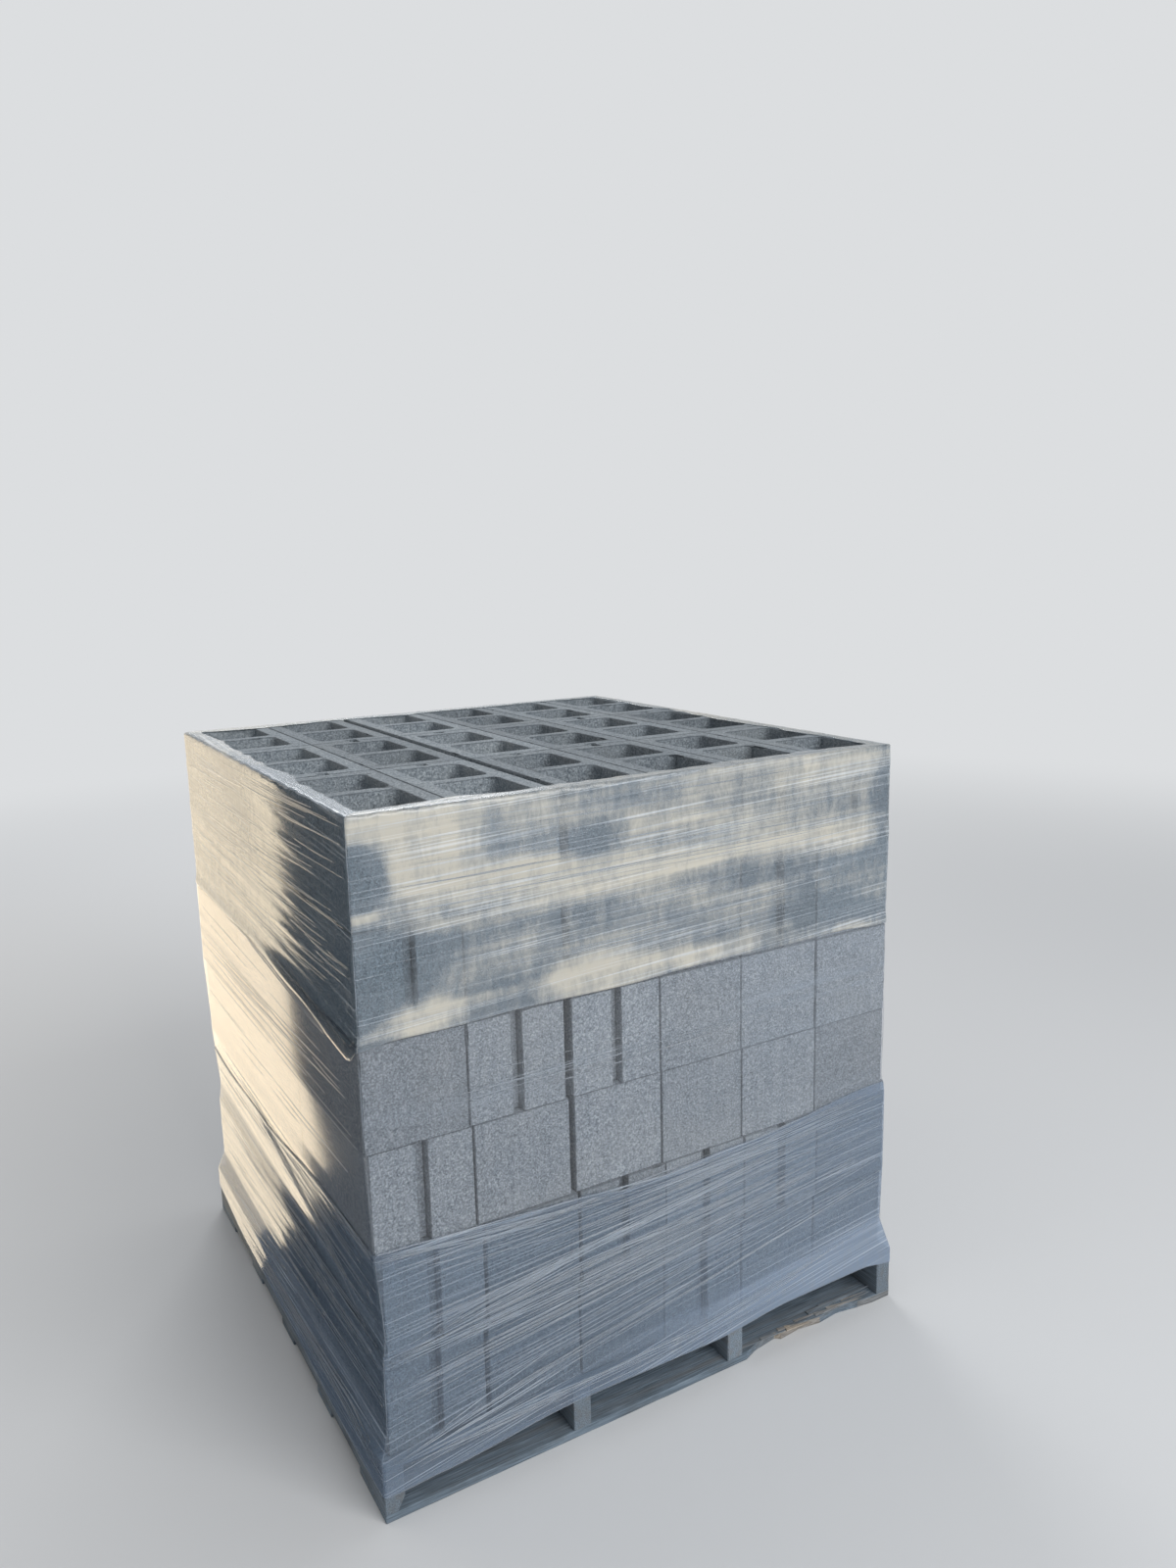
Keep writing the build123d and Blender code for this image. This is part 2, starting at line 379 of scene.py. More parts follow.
# %% Plan of a block
def block_plan(width, length):
    """The block's plan as a flat mesh on Z = 0, with its slot at the -Y end."""
    lines_x = [-width / 2, FACE_SHELL - width / 2, -SLOT_WIDTH / 2]
    lines_x += [-x for x in reversed(lines_x)]
    lines_y = [-length / 2, SLOT_DEPTH - length / 2, END_WEB - length / 2, -MIDDLE_WEB / 2, MIDDLE_WEB / 2,
               length / 2 - END_WEB, length / 2]
    plan = bmesh.new()
    cells_x, cells_y = len(lines_x) - 1, len(lines_y) - 1
    bmesh.ops.create_grid(plan, x_segments=cells_x, y_segments=cells_y, size=0.5)
    for vert in plan.verts:
        column = round((vert.co.x + 0.5) * cells_x)
        row = round((vert.co.y + 0.5) * cells_y)
        vert.co = (lines_x[column], lines_y[row], 0.0)
    open_cells = []
    for face in plan.faces:
        middle = face.calc_center_median()
        in_core = abs(middle.x) < lines_x[-2] and MIDDLE_WEB / 2 < abs(middle.y) < lines_y[-2]
        in_slot = abs(middle.x) < SLOT_WIDTH / 2 and middle.y < lines_y[1]
        if in_core or in_slot:
            open_cells.append(face)
    bmesh.ops.delete(plan, geom=open_cells, context="FACES")
    return plan, lines_x[-2], (lines_y[4], lines_y[5])


trial, *_ = block_plan(194 * MM, 397 * MM)
print("plan of a block:", len(trial.faces), "cells")
trial.free()


# %% A whole block
def is_sharp(edge):
    """True for an edge between faces that meet at more than half a right angle."""
    return len(edge.link_faces) == 2 and edge.calc_face_angle() > math.radians(45)


def hollow_block(width, length, height, rounded):
    """The block as a closed mesh standing on Z = 0."""
    body, core_x, (core_near, core_far) = block_plan(width, length)
    raised = bmesh.ops.extrude_face_region(body, geom=body.faces[:])
    top = [item for item in raised["geom"] if isinstance(item, bmesh.types.BMVert)]
    bmesh.ops.translate(body, vec=(0, 0, height), verts=top)
    bmesh.ops.recalc_face_normals(body, faces=body.faces[:])
    for vert in body.verts:
        near_y = abs(vert.co.y)
        on_core = abs(vert.co.x) < core_x + MM and core_near - MM < near_y < core_far + MM
        if vert.co.z > height / 2 or not on_core:
            continue
        side = 1 if vert.co.y > 0 else -1
        towards = 1 if near_y < (core_near + core_far) / 2 else -1
        if abs(vert.co.x) > core_x - MM:
            vert.co.x -= math.copysign(CORE_DRAFT, vert.co.x)
        vert.co.y += side * towards * CORE_DRAFT
    bmesh.ops.dissolve_limit(body, angle_limit=math.radians(0.2), verts=body.verts[:], edges=body.edges[:])
    if rounded:
        corners = []
        for edge in body.edges:
            a, b = edge.verts
            is_upright = abs(a.co.z - b.co.z) > height / 2
            inside = abs(a.co.x) < core_x + MM and abs(a.co.y) < core_far + MM
            if is_upright and inside and is_sharp(edge):
                corners.append(edge)
        bmesh.ops.bevel(body, geom=corners, offset=CORE_ROUND, segments=4, profile=0.5, affect="EDGES",
                        material=-1)
    return body


trial = hollow_block(194 * MM, 397 * MM, 194 * MM, True)
print("a block with rounded cores:", len(trial.faces), "faces")
trial.free()


# %% Wear on a block or a timber
def split_edges(body, step, shown=lambda point: True):
    """Split the sharp edges that show into steps."""
    for edge in [edge for edge in body.edges if is_sharp(edge)]:
        steps = int(edge.calc_length() / step)
        if steps > 1 and shown((edge.verts[0].co + edge.verts[1].co) / 2):
            bmesh.ops.bisect_edges(body, edges=[edge], cuts=steps - 1)


def soften_edges(body, offset):
    """Bevel the sharp edges."""
    sharp = [edge for edge in body.edges if is_sharp(edge)]
    bmesh.ops.bevel(body, geom=sharp, offset=offset, segments=2, profile=0.5, affect="EDGES", material=-1)


def wear_in(body, depth_at, flat_area, shown=lambda point: True):
    """Move what shows inwards by depth_at(point), but never out of the plane of a large flat face."""
    moves = []
    for vert in body.verts:
        if shown(vert.co):
            move = -vert.normal * depth_at(vert.co)
            for face in vert.link_faces:
                if face.calc_area() > flat_area:
                    move -= face.normal * move.dot(face.normal)
            moves.append((vert, move))
    for vert, move in moves:
        vert.co += move


def block_wear(point):
    """Sand falls off all along an edge, and chips are knocked out here and there."""
    knock = part_way(noise.noise(point / CHIP_SIZE), 0.36, 0.66)
    return CRUMBLE * max(0.0, noise.noise(point / CRUMB_SIZE)) + CHIP * knock


print("chips are at most", CHIP / MM, "mm deep")

# %% [markdown]
# ## The courses of blocks
# Every block of the frame is a solid of its own, so its place can be read from the frame: a course's mesh
# falls into loose parts, and each part's box is one block. Where a part has corners near the middle of an
# end, that end has the slot. The new blocks take those places one by one, and one mesh per course holds
# them. Blocks that nothing can see keep plain edges.


# %% Find the blocks
def loose_parts(node):
    """The corners of each separate solid in a node of the frame."""
    source = bmesh.new()
    source.from_mesh(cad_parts[node].data)
    bmesh.ops.remove_doubles(source, verts=source.verts[:], dist=0.01 * MM)
    unvisited = set(source.verts)
    parts = []
    while unvisited:
        stack = [unvisited.pop()]
        points = []
        while stack:
            vert = stack.pop()
            points.append(vert.co.copy())
            for edge in vert.link_edges:
                other = edge.other_vert(vert)
                if other in unvisited:
                    unvisited.remove(other)
                    stack.append(other)
        parts.append(points)
    source.free()
    return parts


def box_of(points):
    """Lowest and highest corner of some points."""
    low = Vector([min(p[i] for p in points) for i in range(3)])
    high = Vector([max(p[i] for p in points) for i in range(3)])
    return low, high


def slot_faces_front(points, low, high):
    """True if the slot is in a block's -Y end."""
    middle_x = (low.x + high.x) / 2
    return any(abs(point.y - low.y) < MM and abs(point.x - middle_x) < SLOT_WIDTH for point in points)


load_low, load_high = box_of([corner for node in COURSE_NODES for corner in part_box(node)])
print("load:", [round(size / MM) for size in load_high - load_low], "mm")

# %% Build the courses
SHOWN_DEPTH = 24 * MM
SHOWN_FROM_TOP = 60 * MM
batch_draw = random.Random(7)


def build_course(node):
    """All blocks of one course as one mesh."""
    course = bmesh.new()
    batch = course.faces.layers.float.new("batch")
    edge = course.faces.layers.float.new("edge")
    is_top = node == COURSE_NODES[-1]
    low_course, high_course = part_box(node)

    def shown(point):
        """Near the outside of the course, or on top of the load."""
        if is_top and point.z > high_course.z - SHOWN_FROM_TOP:
            return True
        out_x = min(point.x - low_course.x, high_course.x - point.x)
        out_y = min(point.y - low_course.y, high_course.y - point.y)
        return min(out_x, out_y) < SHOWN_DEPTH

    for points in sorted(loose_parts(node), key=lambda part: tuple(box_of(part)[0])):
        low, high = box_of(points)
        size = high - low
        body = hollow_block(size.x, size.y, size.z, is_top)
        if not slot_faces_front(points, low, high):
            half_turn = Matrix.Rotation(math.pi, 3, "Z")
            bmesh.ops.rotate(body, cent=(0, 0, 0), matrix=half_turn, verts=body.verts[:])
        bmesh.ops.translate(body, vec=((low.x + high.x) / 2, (low.y + high.y) / 2, low.z), verts=body.verts[:])
        body.normal_update()
        split_edges(body, RIM_STEP, shown)
        soften_edges(body, RIM_BEVEL)
        wear_in(body, block_wear, FLAT_FACE_AREA, shown)
        shade = batch_draw.random()
        held = bpy.data.meshes.new("block")
        body.to_mesh(held)
        body.free()
        before = len(course.faces)
        course.from_mesh(held)
        bpy.data.meshes.remove(held)
        course.faces.ensure_lookup_table()
        for face in course.faces[before:]:
            face[batch] = shade
            # Small faces are the bevels, marked for the painted shade of the joints.
            face[edge] = 1.0 if face.calc_area() < EDGE_FACE_AREA else 0.0
    bmesh.ops.triangulate(course, faces=[face for face in course.faces if len(face.verts) > 4])
    return hand_over(object_from("dressed_" + node, course, concrete), node)


courses = [build_course(node) for node in COURSE_NODES]
print("blocks:", sum(len(course.data.polygons) for course in courses), "faces")

# %% [markdown]
# ## Pallet timber
# The pallet is rough-sawn softwood that has stood outside: the surface has gone grey and stays brown in
# the grain, and a fresh break shows pale tan. The grain runs along each piece, so the noise that draws it
# is stretched some 30 times along the board for boards, and along the stringer for stringers.

# %% Timber material
GRAIN_LINE = 2.6 * MM
GRAIN_BAND = 7 * GRAIN_LINE
BLOTCH = 71.4 * MM
SQUEEZE = 0.03
FRESH = ((0.3, "7f776e"), (0.5, "b3a594"), (0.7, "d3c8b8"))


def sawn_softwood(name, along, dark, plain, pale):
    """Grey weathered timber of three greys, whose grain runs along axis 0 or 1."""
    material, tree = new_material(name)
    place = add(tree, "TexCoord").outputs["Object"]
    scale = [1.0, 1.0, 1.0]
    scale[along] = SQUEEZE
    lines = add(tree, "Mapping", {"Vector": place, "Scale": scale})
    grain = add(tree, "TexNoise", {"Vector": lines, "Scale": 1 / GRAIN_LINE, "Detail": 4.0, "Roughness": 0.65})
    bands = add(tree, "TexNoise", {"Vector": lines, "Scale": 1 / GRAIN_BAND, "Detail": 2.0})
    blotch = add(tree, "TexNoise", {"Vector": place, "Scale": 1 / BLOTCH, "Detail": 3.0})
    colour = add(tree, "ValToRGB", {"Fac": grain}, stops=[(0.3, dark), (0.5, plain), (0.7, pale)])
    colour = stain(tree, colour, bands, (0.45, 0.7), (0.0, 0.45), "76716b")
    colour = stain(tree, colour, blotch, (0.5, 0.75), (0.0, 0.4), "5c5f60")
    torn = add(tree, "ValToRGB", {"Fac": grain}, stops=FRESH)
    broken = add(tree, "Attribute", attribute_name="broken").outputs["Fac"]
    colour = add(tree, "Mix", {0: broken, 6: colour, 7: torn}, data_type="RGBA")
    piece = add(tree, "Attribute", attribute_name="piece").outputs["Fac"]
    colour = shade_by(tree, colour, piece, "c4c4c4")
    height = weighed(tree, ((grain, 1.0), (bands, 0.8)))
    bump = add(tree, "Bump", {"Height": height, "Distance": 1.0 * MM, "Strength": 0.8})
    shader = add(tree, "BsdfPrincipled", {"Base Color": colour, "Roughness": 0.85, "Normal": bump})
    add(tree, "OutputMaterial", {"Surface": shader})
    print(name, "has", len(tree.nodes), "nodes")
    return material


# These greys are the weathered wood's own, drawn darker and bluer as painted shade under an open sky.
board_wood = sawn_softwood("weathered_board", 0, "4c5861", "748492", "97a6b3")
stringer_wood = sawn_softwood("weathered_stringer", 1, "505a62", "778490", "98a5b0")

# %% [markdown]
# ## Boards and stringers
# Each timber starts from a copy of its solid: its triangles are merged and dissolved into flat faces, its
# edges are split every 20 mm and bevelled, and noise along the edges gives the slight waviness that a
# rough saw and years of forks leave.

# %% Wear and breaks of the timbers
EDGE_STEP = 20 * MM
EDGE_BEVEL = 1.4 * MM
EDGE_WAVE, WAVE_SIZE, NICK_SIZE = 1.8 * MM, 45 * MM, 12 * MM
TORN_BOARD = "bottom_board_1"
TORN_FROM = 0.08
TEAR_START, TEAR_END, TEAR_FADE = 0.295, 0.400, 0.03
SPLINTER_SIZE = 50 * MM


def timber_wear(point):
    """Long waves all along an edge, and small nicks here and there."""
    waves = max(0.0, noise.noise(point / WAVE_SIZE) + 0.25)
    return EDGE_WAVE * (waves + max(0.0, noise.noise(point / NICK_SIZE) - 0.2))


def fresh_wood(point):
    """How fresh the torn edge is: pale where the tear is deepest, and weathering away beside it."""
    if point.x < TORN_FROM:
        return 0.0
    beside = max(TEAR_START - point.x, point.x - TEAR_END, 0.0)
    broken = 0.10 + 0.5 * noise.noise(point / SPLINTER_SIZE)
    return max(0.0, min(0.9, broken + 0.6 * (1 - part_way(beside, 0.0, TEAR_FADE))))


print("tear:", round((TEAR_END - TEAR_START) / MM), "mm wide")

# %% Dress the timbers
piece_draw = random.Random(11)


def dress_timber(node, material):
    """A worn copy of one board or stringer."""
    wood = bmesh.new()
    wood.from_mesh(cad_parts[node].data)
    bmesh.ops.remove_doubles(wood, verts=wood.verts[:], dist=0.01 * MM)
    bmesh.ops.dissolve_limit(wood, angle_limit=math.radians(1), verts=wood.verts[:], edges=wood.edges[:])
    split_edges(wood, EDGE_STEP)
    soften_edges(wood, EDGE_BEVEL)
    wood.normal_update()
    wear_in(wood, timber_wear, FLAT_FACE_AREA / 2)
    shade = wood.faces.layers.float.new("piece")
    fresh = wood.faces.layers.float.new("broken")
    draw = piece_draw.random()
    for face in wood.faces:
        face[shade] = draw
        torn = node == TORN_BOARD and face.normal.y < -0.2 and abs(face.normal.z) < 0.8
        face[fresh] = fresh_wood(face.calc_center_median()) if torn else 0.0
    bmesh.ops.triangulate(wood, faces=[face for face in wood.faces if len(face.verts) > 4])
    return hand_over(object_from("worn_" + node, wood, material), node)


stringers = [dress_timber(node, stringer_wood) for node in STRINGER_NODES]
boards = [dress_timber(node, board_wood) for node in BOARD_NODES]
print("timbers:", sum(len(made.data.polygons) for made in stringers + boards), "faces")

# %% [markdown]
# ## Splinters
# The front bottom board is torn on the right, as fork tines do, and the tear is the only fresh wood in
# sight. A tear leaves slivers that are still fixed at one end. Each is a thin box whose far end is
# pinched to a point, laid along the grain on or beside the torn edge.

# %% Slivers on the torn board
# Each sliver's start X and Y, end X and Y, height of the start, rise to the end, width and thickness, all
# in millimetres, and how fresh it is
SLIVERS = [(318, -592, 378, -604, 15.0, 1.5, 13.0, 3.0, 0.9), (300, -586, 372, -600, 15.5, 2.5, 8.0, 2.0, 0.45),
           (404, -590, 470, -600, 15.5, 3.0, 9.0, 2.5, 0.35), (440, -587, 532, -602, 15.5, 2.0, 7.0, 2.0, 0.55),
           (468, -594, 560, -597, 15.0, 5.0, 6.0, 1.8, 0.3), (392, -578, 601, -583, 16.0, 6.0, 10.0, 2.5, 0.1),
           (430, -572, 520, -577, 16.2, 2.0, 7.0, 1.6, 0.05), (520, -596, 605, -603, 12.0, 2.0, 12.0, 3.0, 0.2),
           (350, -582, 430, -589, 15.6, 1.0, 6.0, 1.6, 0.4), (250, -590, 312, -597, 15.2, 1.0, 7.0, 2.0, 0.15),
           (180, -588, 246, -594, 15.4, 0.8, 5.0, 1.5, 0.1), (486, -584, 560, -589, 16.0, 1.5, 5.0, 1.4, 0.5)]
SLIVER_CUTS = 5
SLIVER_SHADE = 0.8
TIP = 0.04


def runs_along_x(edge):
    """True for a long edge of the unit cube that a sliver starts as."""
    return abs(edge.verts[0].co.x - edge.verts[1].co.x) > 0.5


slivers = bmesh.new()
sliver_shade = slivers.faces.layers.float.new("piece")
sliver_fresh = slivers.faces.layers.float.new("broken")
for x0, y0, x1, y1, z, rise, width, thickness, freshness in SLIVERS:
    known = set(slivers.faces)
    start, run = Vector((x0, y0, z)) * MM, Vector((x1 - x0, y1 - y0, rise)) * MM
    sideways = Vector((-run.y, run.x, 0)).normalized() * width * MM
    corners = bmesh.ops.create_cube(slivers, size=1.0)["verts"]
    edges = {edge for vert in corners for edge in vert.link_edges}
    bmesh.ops.subdivide_edges(slivers, edges=[edge for edge in edges if runs_along_x(edge)], cuts=SLIVER_CUTS)
    new_faces = [face for face in slivers.faces if face not in known]
    for vert in {vert for face in new_faces for vert in face.verts}:
        share = vert.co.x + 0.5
        ragged = 1 + 0.25 * noise.noise(Vector((x0, share * 6, vert.co.y * 3)))
        slim = (1 - share ** 1.5) * ragged + TIP
        up = (vert.co.z + 0.5) * thickness * MM * (0.3 + 0.7 * slim)
        vert.co = start + run * share + sideways * vert.co.y * slim + Vector((0, 0, up))
    for face in new_faces:
        face[sliver_shade], face[sliver_fresh] = SLIVER_SHADE, freshness
bmesh.ops.recalc_face_normals(slivers, faces=slivers.faces[:])
splinters = hand_over(object_from("torn_board_splinters", slivers, board_wood))
print("splinters:", len(splinters.data.polygons), "faces")

# %% [markdown]
# ## Film: where it lies
# Stretch film follows whatever it is pulled round, and bridges what stands back. The frame's boxes say how
# far out each course reaches, so one list of levels from the pallet up to the rim says where the film
# lies at each height. A place on the film is then two numbers: how far round the load it is, from 0 at
# the front left corner through 1, 2 and 3 at the next corners and back to 4, and its height.

# %% Levels of the film
BRIDGE_DOWN, BRIDGE_UP = 150 * MM, 40 * MM
SIDE_LENGTH = load_high.x - load_low.x
deck_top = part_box("deck_board_1")[1].z
rim_z = load_high.z


def flat_box(node):
    """Low X, high X, low Y and high Y of a node."""
    low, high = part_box(node)
    return (low.x, high.x, low.y, high.y)


def around_both(a, b):
    """The box that takes in two boxes."""
    return (min(a[0], b[0]), max(a[1], b[1]), min(a[2], b[2]), max(a[3], b[3]))


def between(a, b, share):
    """The box a share of the way from one box to another."""
    return tuple(p + (q - p) * share for p, q in zip(a, b))


pallet_box = (flat_box("deck_board_1")[0], flat_box("deck_board_7")[1], *flat_box("stringer_1")[2:])
course_boxes = [flat_box(node) for node in COURSE_NODES]
foot_box = around_both(pallet_box, course_boxes[0])
levels = [(deck_top, course_boxes[0])]
for below, above, node in zip(course_boxes, course_boxes[1:], COURSE_NODES[1:]):
    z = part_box(node)[0].z
    levels += [(z - BRIDGE_DOWN, below), (z, around_both(below, above)), (z + BRIDGE_UP, above)]
levels.append((rim_z, course_boxes[-1]))
print("levels of the film:", [round(z / MM) for z, _ in levels], "mm up")


# %% Lines round the load
def place_on(side, at):
    """Place round the load of a point on a side, from its X or Y in millimetres."""
    share_x = (at * MM - load_low.x) / SIDE_LENGTH
    share_y = (at * MM - load_low.y) / (load_high.y - load_low.y)
    return {"front": share_x, "right": 1 + share_y, "rear": 3 - share_x, "left": 4 - share_y}[side]


def route(**sides):
    """Points (place, height) from each side's points (mm along it, mm up). One may start on the left."""
    first = next(iter(sides))
    return [(place_on(side, at) - (4 if side == first == "left" else 0), up * MM)
            for side, points in sides.items() for at, up in points]


def curve_value(points, s):
    """Smooth height at s of a closed curve through (place, height) points in order."""
    s %= 4.0
    ends = [(points[-1][0] - 4.0, points[-1][1]), *points, (points[0][0] + 4.0, points[0][1])]
    for (s0, v0), (s1, v1) in zip(ends, ends[1:]):
        if s0 <= s <= s1:
            return v0 + (v1 - v0) * smooth_way(s, s0, s1)
    return points[0][1]


# Where the film leaves the blocks to slope out to the pallet
SLOPE_TOP = route(front=[(-560, 166), (98, 160), (375, 176), (575, 204)], right=[(-400, 190), (300, 175)],
                  rear=[(400, 185), (-400, 165)], left=[(300, 162), (-400, 164)])
print("the film leaves the blocks", round(curve_value(SLOPE_TOP, 0.5) / MM), "mm up in the front's middle")

# %% A point of the film
FILM_GAP = 0.9 * MM
CORNER_ROUND = 5 * MM


def box_at(s, z):
    """The box that the film spans at a place round the load and a height."""
    if z <= deck_top:
        return foot_box
    slope_top = curve_value(SLOPE_TOP, s)
    if z < slope_top:
        return between(foot_box, course_boxes[0], (z - deck_top) / (slope_top - deck_top))
    for (z0, box0), (z1, box1) in zip(levels, levels[1:]):
        if z0 <= z <= z1:
            return between(box0, box1, (z - z0) / (z1 - z0))
    return course_boxes[-1]


def wrapped(s, z, lift):
    """The film's point at s round the load, height z and lift off it.

    A height above the rim is a fold: that much film lies flat on the top of the load.
    """
    low_x, high_x, low_y, high_y = box_at(s, min(z, rim_z))
    fold = max(0.0, z - rim_z)
    low_x, high_x, low_y, high_y = low_x + fold, high_x - fold, low_y + fold, high_y - fold
    corners = [Vector((low_x, low_y)), Vector((high_x, low_y)), Vector((high_x, high_y)), Vector((low_x, high_y))]
    side = int(s % 4.0)
    start, end = corners[side], corners[(side + 1) % 4]
    along = (end - start).normalized()
    out = Vector((along.y, -along.x))
    length = (end - start).length
    d = (s % 1.0) * length
    turned, centre = 0.0, start + along * d - out * CORNER_ROUND
    if d < CORNER_ROUND:
        turned = -math.pi / 4 * (1 - d / CORNER_ROUND)
        centre = start + (along - out) * CORNER_ROUND
    elif d > length - CORNER_ROUND:
        turned = math.pi / 4 * (1 - (length - d) / CORNER_ROUND)
        centre = end - (along + out) * CORNER_ROUND
    direction = out * math.cos(turned) + along * math.sin(turned)
    if fold > 0:
        flat = centre + direction * CORNER_ROUND
        return Vector((flat.x, flat.y, rim_z + FILM_GAP + lift))
    flat = centre + direction * (CORNER_ROUND + FILM_GAP + lift)
    return Vector((flat.x, flat.y, z))


print("the film at the first corner, 1 m up:", [round(c / MM) for c in wrapped(0.0, 1.0, 0.0)], "mm")

# %% [markdown]
# ## Film: material
# The film is linear low-density polyethylene, blown some 20 micrometres thin and stretched as it is
# wound. One turn is clear and glossy. Several turns dim what is behind them, and stretch marks and creases
# scatter light and look milky. The cream patches on film that clings to the blocks are painted reflections
# of warm light, laid into the milk. So the shader mixes a tinted see-through with a clear gloss that grows
# towards glancing angles, and adds milk from three patterns: thin stretch marks along the winding, wider
# bands, and the upright mottling where film clings to rough concrete. The UV map holds metres along the
# winding and metres across it, so stretch marks follow the slant of each turn. The gloss isn't driven by a
# Fresnel node, because on a sheet's inner face that node works as inside glass, where light at a slant
# can't get out, and the film would turn into a mirror. Schlick's rule on Layer Weight's Facing serves both
# faces.

# %% Film material
STRETCH_MARK, STRETCH_MARK_LENGTH = 3.6 * MM, 0.45
BAND, BAND_LENGTH = 13 * MM, 0.6
MARKED_AREA, MARKED_AREA_LENGTH = 50 * MM, 0.5
CLING = 11 * MM
CLING_CLOUD = 38 * MM
CLING_SQUEEZE = 0.38
REFLECTION_PATCH_MILK = 0.34
MOST_MILK = 0.9
HEAD_ON_MIRROR = 0.035
PRESSED_MIRROR = 0.4
TAUT_ROUGHNESS = 0.10


def stretch_film(name, tint, haze, marks, cling, relief, gloss_roughness=TAUT_ROUGHNESS, milk_colour="aab7c5"):
    """Film whose light through it has a tint. haze, marks and cling are shares of milk."""
    material, tree = new_material(name)
    chart = add(tree, "UVMap", uv_map="film")
    place = add(tree, "TexCoord").outputs["Object"]

    def winding_noise(length, width, detail):
        """Noise whose grains are this long along the winding and this wide across it."""
        way = add(tree, "Mapping", {"Vector": chart, "Scale": (width / length, 1.0, 1.0)})
        return add(tree, "TexNoise", {"Vector": way, "Scale": 1 / width, "Detail": detail, "Roughness": 0.6})

    mark = winding_noise(STRETCH_MARK_LENGTH, STRETCH_MARK, 1.0)
    band = winding_noise(BAND_LENGTH, BAND, 2.0)
    marked = winding_noise(MARKED_AREA_LENGTH, MARKED_AREA, 1.0)
    upright = add(tree, "Mapping", {"Vector": place, "Scale": (1.0, 1.0, CLING_SQUEEZE)})
    mottle = add(tree, "TexNoise", {"Vector": upright, "Scale": 1 / CLING, "Detail": 5.0, "Roughness": 0.7,
                                    "Distortion": 0.5})
    cloud = add(tree, "TexNoise", {"Vector": upright, "Scale": 1 / CLING_CLOUD, "Detail": 3.0})

    where = add(tree, "MapRange", {"Value": marked, "From Min": 0.40, "From Max": 0.60, "To Min": 0.30})
    thin = add(tree, "MapRange", {"Value": mark, "From Min": 0.55, "From Max": 0.66, "To Max": marks})
    wide = add(tree, "MapRange", {"Value": band, "From Min": 0.50, "From Max": 0.74, "To Max": marks * 0.35})
    clinging = add(tree, "MapRange", {"Value": mottle, "From Min": 0.45, "From Max": 0.75, "To Max": cling})
    # The cream attribute and the patch drawn from it are a painted reflection of warm light, which adds cream
    # milk.
    cream = add(tree, "Attribute", attribute_name="cream").outputs["Fac"]
    ragged = weighed(tree, ((mottle, 0.9), (band, 0.7), (cloud, 0.9)), start=cream)
    patch = add(tree, "MapRange", {"Value": ragged, "From Min": 1.38, "From Max": 2.30})
    milk = add(tree, "Attribute", attribute_name="milk").outputs["Fac"]
    share = weighed(tree, ((milk, 1.0), (thin, where), (wide, 1.0), (clinging, 1.0), (patch, REFLECTION_PATCH_MILK)), haze)
    share = add(tree, "Clamp", {"Value": share, "Max": MOST_MILK})

    # Where the patch is, the milk takes the cream colour of the painted reflection.
    colour = add(tree, "Mix", {0: patch, 6: linear(milk_colour), 7: linear("e6dfcf")}, data_type="RGBA")
    colour = stain(tree, colour, mottle, (0.4, 0.7), (0.0, 0.35), "a9adb0")
    colour = stain(tree, colour, mark, (0.55, 0.66), (0.0, 0.6), "d3dbe4")
    height = weighed(tree, ((mark, 0.5), (band, 2.2)))
    bump = add(tree, "Bump", {"Height": height, "Distance": 1.0 * MM, "Strength": relief})
    scatter = add(tree, "BsdfPrincipled", {"Base Color": colour, "Roughness": 0.38, "IOR": 1.5, "Normal": bump})

    rough = gloss_roughness
    if gloss_roughness > TAUT_ROUGHNESS:
        taut = add(tree, "Attribute", attribute_name="taut").outputs["Fac"]
        rough = add(tree, "MapRange", {"Value": taut, "To Min": gloss_roughness, "To Max": TAUT_ROUGHNESS})
    gloss = add(tree, "BsdfGlossy", {"Color": (1, 1, 1, 1), "Roughness": rough, "Normal": bump})
    clear = add(tree, "BsdfTransparent", {"Color": linear(tint)})
    facing = add(tree, "LayerWeight", {"Blend": 0.5, "Normal": bump}).outputs["Facing"]
    schlick = add(tree, "Math", {0: facing, 1: 5.0}, operation="POWER")
    mirror = add(tree, "MapRange", {"Value": schlick, "To Min": HEAD_ON_MIRROR})
    pressed = add(tree, "Attribute", attribute_name="pressed").outputs["Fac"]
    dulled = add(tree, "MapRange", {"Value": pressed, "To Min": 1.0, "To Max": PRESSED_MIRROR})
    mirror = add(tree, "Math", {0: mirror, 1: dulled}, operation="MULTIPLY")
    film = add(tree, "MixShader", {0: mirror, 1: clear, 2: gloss})
    film = add(tree, "MixShader", {0: share, 1: film, 2: scatter})
    add(tree, "OutputMaterial", {"Surface": film})
    print(name, "has", len(tree.nodes), "nodes")
    return material


film_middle = stretch_film("stretch_film_one_turn", "fdfdfe", 0.006, 0.03, 0.0, 0.05)
film_upper = stretch_film("stretch_film_upper_turns", "ebeff2", 0.075, 0.25, 0.12, 0.20, 0.17, "adb6be")
film_lower = stretch_film("stretch_film_lower_turns", "edf1f5", 0.085, 0.25, 0.01, 0.13, 0.24, "9fb1c8")
film_crease = stretch_film("stretch_film_creased", "fbfcfd", 0.08, 0.0, 0.0, 0.1, 0.28)

# %% [markdown]
# ## Film: the turns
# The roll is 500 mm wide, so three bands cover the load, and each is one grid bent round it. The grid's
# columns are close together at the corners, where the film turns sharply, and its rows run between the
# band's lower and upper edge, so they follow the slant of the winding. Noise stretched along the rows
# lifts the film off the blocks in long soft waves. A Solidify modifier then gives the sheet a closed
# thickness. Real film is ten times thinner than this, which no view can tell.

